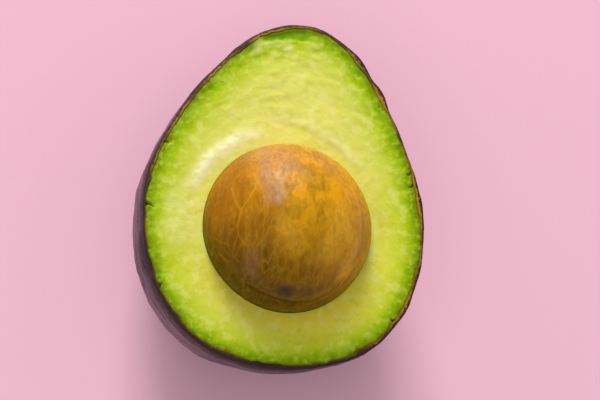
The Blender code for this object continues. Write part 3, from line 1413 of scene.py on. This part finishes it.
    def _lip_radius(self, polar: np.ndarray) -> np.ndarray:
        """Where the pocket opens in the cut face: just inside the plain stone's outline, which clears the
        stone's sunken coat by a hair, and by more on the side away from the stem end and to the left.

        Args:
            polar: Directions about the stone's axis.

        Returns:
            Radii.
        """
        half = self.form.stone_half
        outline = 1 / np.sqrt((np.cos(polar) / half[0]) ** 2 + (np.sin(polar) / half[1]) ** 2)
        loose = fade(np.cos(polar - math.radians(250)), -0.2, 1.0)
        return outline - self.form.stone_slack(polar) - self.lip_inset + self.lip_loose * loose

    def _pocket(self, polar: np.ndarray, last_face_ring: np.ndarray) -> tuple[np.ndarray, np.ndarray]:
        """The lip and the pocket: a quarter round from the face's last ring down to the stone's side, then
        rings round the stone to its bottom.

        Args:
            polar: Directions about the stone's axis, as a row.
            last_face_ring: Where the cut face ends.

        Returns:
            Points, and where the pocket's wall is, from 0 to 1.
        """
        turn = (np.arange(1, self.lip_rings + 1) / self.lip_rings * math.pi / 2)[:, None]
        start = np.hypot(last_face_ring[:, 0], last_face_ring[:, 1])[None, :]
        radius = start + (self._lip_radius(polar) - start) * np.sin(turn)
        z = last_face_ring[None, :, 2] - self.lip_round * (1 - np.cos(turn))
        lip = triple(radius * np.cos(polar), radius * np.sin(polar), z)
        rise = np.linspace(math.radians(-4), math.radians(-84), self.pocket_rings)[:, None]
        centre = self.form.stone_middle[2] - self.form.place[2]
        a, b, c = self.form.stone_half + self.form.gap
        level = np.cos(rise)
        below = triple(a * level * np.cos(polar), b * level * np.sin(polar), centre + c * np.sin(rise))
        return np.concatenate([lip, below]), joined((lip, below), (fade(turn, 0.5, 1.5), 1.0))


@dataclass(frozen=True)
class Patch:
    """A soft patch of one of the stone's paints, the coat's colours and its painted highlight and sheen,
    spread
    along a line of places on the stone: longitudes and latitudes in degrees, with how far it reaches to
    each side and how strong it is."""

    paint: str
    line: Line
    reach: float
    strength: float


@dataclass
class Stone:
    """The stone: a nearly round seed, with lumps, veins, a scar, a band and a crease in its coat."""

    form: FruitForm
    around: int = 400
    rings: int = 199
    sink: float = 0.10 * MM
    least_sink: float = 0.02 * MM
    lump_relief: float = 0.55 * MM
    pore_relief: float = 0.06 * MM
    vein_relief: float = 0.10 * MM
    vein_width: float = 0.17 * MM
    scar_relief: float = 0.30 * MM
    crease_relief: float = 0.35 * MM
    fold_relief: float = 0.07 * MM
    band_relief: float = 0.14 * MM
    net_relief: float = 0.02 * MM
    bold_veins: int = 2
    faint_vein: float = 0.65
    veins: tuple[Line, ...] = (
        ((156, 31), (166, 38), (175, 44), (-178, 43), (-171, 41), (-165, 40), (-157, 42), (-152, 44)),
        ((138, 39), (144, 48), (154, 50), (162, 49), (170, 46), (175, 44)),
        ((144, 48), (149, 55), (159, 59)),
        ((-179, 35), (-173, 39), (-168, 41)),
        ((-165, 40), (-156, 33), (-152, 30), (-145, 31)),
        ((-157, 42), (-154, 37), (-150, 32)),
        ((-169, 16), (-164, 23), (-159, 30)),
        ((-157, 18), (-152, 20), (-148, 23)),
        ((-163, 71), (-141, 72), (-122, 70), (-105, 67), (-99, 57), (-95, 48)),
        ((-130, 82), (-124, 75), (-122, 70)),
        ((-47, 74), (-68, 67), (-74, 57)),
        ((128, 40), (136, 47), (147, 50)),
    )
    scar_at: tuple[float, float] = (-101, 33)
    # The raised band on the right. Its peach paint is a painted reflection.
    band: Line = ((32, 45), (21, 46), (11, 46), (-6, 46), (-18, 45.5), (-32, 42.5), (-44, 40))
    crease: Line = ((-128, 20), (-112, 21), (-99, 21.5), (-86, 20.5), (-73, 22), (-62, 24), (-50, 29))
    patches: tuple[Patch, ...] = (
        # Painted highlight: pinkish-tan streaks along the lamp's highlight on the stone's top.
        Patch("lilac_and_painted_sheen", ((112, 22), (131, 48), (150, 62)), 3.4 * MM, 0.75),
        Patch("lilac_and_painted_sheen", ((110, 20), (112, 50)), 8.0 * MM, 0.55),
        # Painted sheen low on the left.
        Patch("lilac_and_painted_sheen", ((-141, 42), (-132, 34)), 3.0 * MM, 0.35),
        # Painted highlight: the paler streak at the lamp's highlight.
        Patch("pale", ((126, 58), (131, 61), (150, 69)), 2.0 * MM, 0.55),
        Patch("sand", ((-12, 64), (-29, 62), (-46, 60)), 7.0 * MM, 0.75),
        Patch("sand", ((-22, 50), (-38, 43), (-44, 36)), 4.5 * MM, 0.75),
        Patch("sand", ((-150, 74), (-109, 68)), 4.0 * MM, 0.40),
        Patch("sand", ((-78, 59), (-58, 54)), 3.0 * MM, 0.35),
        Patch("lilac_and_painted_sheen", ((80, 34), (66, 40)), 6.0 * MM, 0.30),
        Patch("murk", ((-133, 29), (-118, 26), (-105, 31)), 5.0 * MM, 0.60),
        Patch("murk", ((-92, 35), (-80, 33)), 3.6 * MM, 0.70),
        Patch("dark", ((-150, 14), (-130, 15), (-110, 16), (-85, 17)), 2.0 * MM, 0.45),
        Patch("dark", ((-75, 14), (-60, 17), (-47, 24), (-36, 30)), 0.8 * MM, 0.40),
        Patch("dark", ((-148, 56), (-133, 49), (-123, 41)), 0.7 * MM, 0.30),
        Patch("dark", ((27, 42), (8, 42), (-8, 41), (-30, 37)), 0.7 * MM, 0.30),
    )

    def build(self) -> bpy.types.Object:
        """Builds the stone.

        Returns:
            The object.
        """
        form = self.form
        turn = np.linspace(0, TURN, self.around, endpoint=False)[None, :]
        rise = np.linspace(math.pi / 2, -math.pi / 2, self.rings + 2)[1:-1, None]
        out = triple(np.cos(rise) * np.cos(turn), np.sin(rise), np.cos(rise) * np.sin(turn))
        relief, masks = self._relief(out)
        level = np.hypot(out[..., 0], out[..., 1])
        relief = relief - form.stone_slack(np.arctan2(out[..., 1], out[..., 0])) * level**2
        rows = out * form.stone_half + out * relief[..., None]
        tip = np.array([0, form.stone_half[1] - 0.2 * MM, 0])
        poles = (form.stone_middle + tip, form.stone_middle - tip)
        return closed_stack("stone_seed", rows + form.stone_middle, poles, masks)

    @staticmethod
    def _direction(longitude: float, latitude: float) -> np.ndarray:
        """The unit vector of a place on the stone, both angles in degrees, latitude above the cut face."""
        lon, lat = math.radians(longitude), math.radians(latitude)
        return np.array([math.cos(lat) * math.cos(lon), math.cos(lat) * math.sin(lon), math.sin(lat)])

    def _away(self, out: np.ndarray, line: Line) -> np.ndarray:
        """How far each point is from a line drawn on the stone through these places: the least distance
        to its straight stretches.

        Args:
            out: Unit vectors.
            line: Longitudes and latitudes in degrees.

        Returns:
            Distances in metres.
        """
        places = [self._direction(*place) for place in line]
        least = np.full(out.shape[:-1], Grain.FAR)
        for start, end in zip(places, places[1:]):
            run = end - start
            share = np.clip(((out - start) @ run) / (run @ run), 0, 1)
            nearest = start + share[..., None] * run
            nearest = nearest / np.linalg.norm(nearest, axis=-1, keepdims=True)
            least = np.minimum(least, np.linalg.norm(out - nearest, axis=-1))
        return least * self.form.stone_half.mean()

    def _vein_mask(self, bent: np.ndarray) -> np.ndarray:
        """The drawn veins: bells across their lines, the first ones bolder.

        Args:
            bent: Unit vectors, a little disturbed so that the lines waver.

        Returns:
            Where they are, from 0 to 1.
        """
        mask = np.zeros(bent.shape[:-1])
        for number, line in enumerate(self.veins):
            bold = 1.0 if number < self.bold_veins else self.faint_vein
            width = self.vein_width * (0.7 + 0.3 * bold)
            mask = np.maximum(mask, bold * bell(self._away(bent, line), 0.0, width))
        return mask

    def _relief(self, out: np.ndarray) -> tuple[np.ndarray, dict[str, np.ndarray]]:
        """The coat's relief, never above the plain stone: broad lumps, pores, raised veins, a fine net on
        the left, the raised band, the sunken scar and the crease, all of them nearly gone where the lip
        meets the stone; and the masks of where they, the coat's colours and its painted light lie: painted
        shade low down and in the crease, a painted glow by the flesh, painted highlight and sheen, and a
        painted reflection on the band.

        Args:
            out: Unit vectors of the plain stone's points.

        Returns:
            Heights, all below zero, and masks by name.
        """
        grain = Grain(31)
        radius = self.form.stone_half.mean()
        points = out * radius
        x, y, z = out[..., 0], out[..., 1], out[..., 2]
        bent = out + 0.012 * grain.wander(points, 4 * MM, 0.05)
        vein = self._vein_mask(bent)
        crease_away = self._away(out, self.crease)
        crease = bell(crease_away, 0.0, 0.55 * MM) * (0.35 + 0.65 * fade(x, 0.35, -0.1))
        fold = fade(crease_away, 2.5 * MM, 0.4 * MM)
        scar_away = np.linalg.norm(out - self._direction(*self.scar_at), axis=-1) * radius
        scar = fade(scar_away + 0.9 * MM * grain.cloud(points, 1.8 * MM, 2), 3.8 * MM, 0.7 * MM)
        band_away = self._away(out, self.band)
        between, _ = Grain(33).cobbles(bent * np.array([1.0, 0.55, 0.8]) * radius, 3.4 * MM)
        left = fade(x, 0.15, -0.35) * fade(z, 0.1, 0.3)
        net = fade(between, 0.11, 0.02) * left * (0.45 + 0.55 * grain.cloud(points, 3 * MM, 2))
        relief = -self.sink - self.lump_relief * (0.5 - 0.5 * grain.cloud(points, 11 * MM, 2))
        relief = relief + self.pore_relief * grain.cloud(points, 1.4 * MM, 2) + self.vein_relief * vein
        relief = relief - self.scar_relief * scar - self.crease_relief * crease - self.fold_relief * fold
        relief = relief + self.band_relief * bell(band_away, 0.0, 0.9 * MM) + self.net_relief * net
        relief = relief * (0.06 + 0.94 * fade(np.abs(z - 0.05), 0.05, 0.30))

        warm_side = fade(x + 0.1 * y + 0.2 * grain.cloud(points, 8 * MM, 2), 0.2, 0.7)
        # Painted glow: a thin yellow-orange line low on the stone where it meets the flesh, in place of
        # light from the flesh.
        painted_seat_glow = bell(z, 0.10, 0.09) * fade(y, -0.5, 0.1)
        rusty = fade(-x - 0.1 * y + 0.25 * grain.cloud(points, 7 * MM, 2), 0.1, 0.6)
        # Painted shade: darker near where the stone meets the flesh, on the side away from the stem.
        low = fade(z, 0.36, 0.14) * fade(y, 0.5, 0.0)
        broken = 0.7 + 0.6 * grain.cloud(points, 2.5 * MM, 2)
        masks = {
            "vein": vein,
            # Painted shade in the crease.
            "crease": 0.7 * crease,
            "scar": 0.85 * scar,
            # The golden right side, and the painted glow where the stone meets the flesh.
            "warm_and_painted_glow": 0.75 * warm_side + 0.8 * painted_seat_glow,
            "rust": 0.8 * rusty * fade(y, -0.75, -0.1),
            # Duller and olive low on the side away from the stem: the coat's colour and painted shade, with
            # the painted shade by the seat added to the olive.
            "dull": 0.6 * fade(-y - 0.2 * x, 0.1, 0.8),
            "olive": 0.75 * fade(-y - 0.5 * x, 0.3, 0.9) + 0.6 * low,
            "streaky": fade(z, 0.45, 0.85) * fade(y, 0.45, -0.1),
            "net": net,
            # Painted reflection along the raised band.
            "band": 0.52 * bell(band_away, 0.0, 0.50 * MM) * broken,
        }
        for patch in self.patches:
            uneven = 0.35 * patch.reach * grain.cloud(points + 0.02, 2.5 * MM, 3)
            away = self._away(bent, patch.line) + uneven
            spread = patch.strength * fade(away, patch.reach, 0.15 * patch.reach)
            masks[patch.paint] = np.maximum(masks.get(patch.paint, 0.0), spread)
        clipped = {name: np.clip(mask, 0, 1) for name, mask in masks.items()}
        return np.minimum(relief, -self.least_sink), clipped


class Direction(Enum):
    """Where a lamp stands, as seen from the fruit: degrees about +Z from +X, and degrees up."""

    STEM_SIDE = (101.0, 24.0)
    OVERHEAD = (215.0, 62.0)


@dataclass
class Studio:
    """A plain pale floor, soft lamps and the camera."""

    form: FruitForm
    floor_half: float = 2.5
    floor_paint: Colour = colour(243, 188, 207)
    floor_tooth: float = 0.97
    lamp_distance: float = 2.6
    surround: float = 0.38
    lens_mm: float = 85.0
    nearest: float = 10 * MM
    camera_distance: float = 350 * MM
    camera_tilt: float = math.radians(20.0)
    camera_side: float = math.radians(218.2)
    aim: tuple[float, float] = (3.2 * MM, 7.6 * MM)

    @staticmethod
    def _stand(name: str, data: bpy.types.ID) -> bpy.types.Object:
        """Puts a new object in the scene.

        Args:
            name: The object's name.
            data: Its mesh, light or camera.

        Returns:
            The object.
        """
        obj = bpy.data.objects.new(name, data)
        bpy.context.scene.collection.objects.link(obj)
        return obj

    def build_floor(self) -> bpy.types.Object:
        """A large square floor at z = 0 with a faint, even tooth.

        Returns:
            The floor.
        """
        half = self.floor_half
        mesh = bpy.data.meshes.new("floor")
        corners = [(-half, -half, 0), (half, -half, 0), (half, half, 0), (-half, half, 0)]
        mesh.from_pydata(corners, [], [(0, 1, 2, 3)])
        material, bench, shader = new_material("floor_paper")
        tooth = bench.add("TexNoise", {"Vector": bench.place(), "Scale": 900.0, "Detail": 3.0})
        darker = tuple(self.floor_tooth * part for part in self.floor_paint[:3]) + (1.0,)
        paint = bench.mix(tooth.outputs[0], darker, self.floor_paint)
        bench.feed(shader, {"Base Color": paint, "Roughness": 1.0, "Specular IOR Level": 0.02})
        mesh.materials.append(material)
        return self._stand("floor", mesh)

    def build_lamp(
        self, name: str, where: Direction, size: tuple[float, float], watts: float
    ) -> bpy.types.Object:
        """A soft lamp that faces the fruit, with white light.

        Args:
            name: The lamp's name.
            where: The side it stands on.
            size: Its width and its height.
            watts: Its power.

        Returns:
            The lamp.
        """
        light = bpy.data.lights.new(name, "AREA")
        light.shape = "RECTANGLE"
        light.size, light.size_y = size
        light.energy = watts
        lamp = self._stand(name, light)
        side, up = (math.radians(value) for value in where.value)
        away = Vector((math.cos(side) * math.cos(up), math.sin(side) * math.cos(up), math.sin(up)))
        lamp.location = Vector((0, 0, self.form.place[2])) + away * self.lamp_distance
        lamp.rotation_euler = away.to_track_quat("Z", "Y").to_euler()
        lamp.visible_camera = False
        return lamp

    def build_world(self) -> None:
        """A dim, even surround, so that the lamps shape the fruit."""
        world = bpy.data.worlds.new("surround")
        world.use_nodes = True
        background = world.node_tree.nodes["Background"]
        background.inputs["Color"].default_value = (1.0, 1.0, 1.0, 1.0)
        background.inputs["Strength"].default_value = self.surround
        bpy.context.scene.world = world
        bpy.context.scene.view_settings.view_transform = "Standard"

    def build_camera(self) -> bpy.types.Object:
        """The camera, above the cut face and tilted towards the base and the left, with +y upwards.

        Returns:
            The camera.
        """
        level = math.sin(self.camera_tilt)
        side = (level * math.cos(self.camera_side), level * math.sin(self.camera_side))
        back = Vector((*side, math.cos(self.camera_tilt)))
        right = Vector((0, 1, 0)).cross(back).normalized()
        facing = Matrix((right, back.cross(right), back)).transposed().to_4x4()
        target = Vector(self.form.place) + Vector((*self.aim, 0))
        lens = bpy.data.cameras.new("camera")
        lens.lens = self.lens_mm
        lens.clip_start = self.nearest
        camera = self._stand("camera", lens)
        camera.matrix_world = Matrix.Translation(target + back * self.camera_distance) @ facing
        bpy.context.scene.camera = camera
        return camera


def put_in_frame(piece: bpy.types.Object, node: str, material: bpy.types.Material) -> None:
    """Dresses a finished piece and gives it to the frame in place of its solid.

    Args:
        piece: The finished object.
        node: The solid that it stands for.
        material: Its finish.
    """
    piece.data.materials.append(material)
    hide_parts(node)
    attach(piece, "root")
    log.info("%s: %d faces, stands for %s", piece.name, len(piece.data.polygons), node)


def main() -> None:
    """Builds the fruit, the studio and the camera, and logs each piece's face count."""
    logging.basicConfig(level=logging.INFO, format="%(name)s: %(message)s")
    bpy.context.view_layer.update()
    form = FruitForm()
    effects = Effects()
    put_in_frame(Skin(form).build(), "skin", SkinFinish().material(effects))
    put_in_frame(Flesh(form).build(), "flesh", FleshFinish().material(effects))
    put_in_frame(Stone(form).build(), "stone", StoneFinish().material(effects))
    studio = Studio(form)
    studio.build_floor()
    studio.build_lamp("stem_side_lamp", Direction.STEM_SIDE, (1.0, 1.9), 86.0)
    studio.build_lamp("overhead_lamp", Direction.OVERHEAD, (2.4, 2.4), 15.0)
    studio.build_world()
    studio.build_camera()


if __name__ == "__main__":
    main()
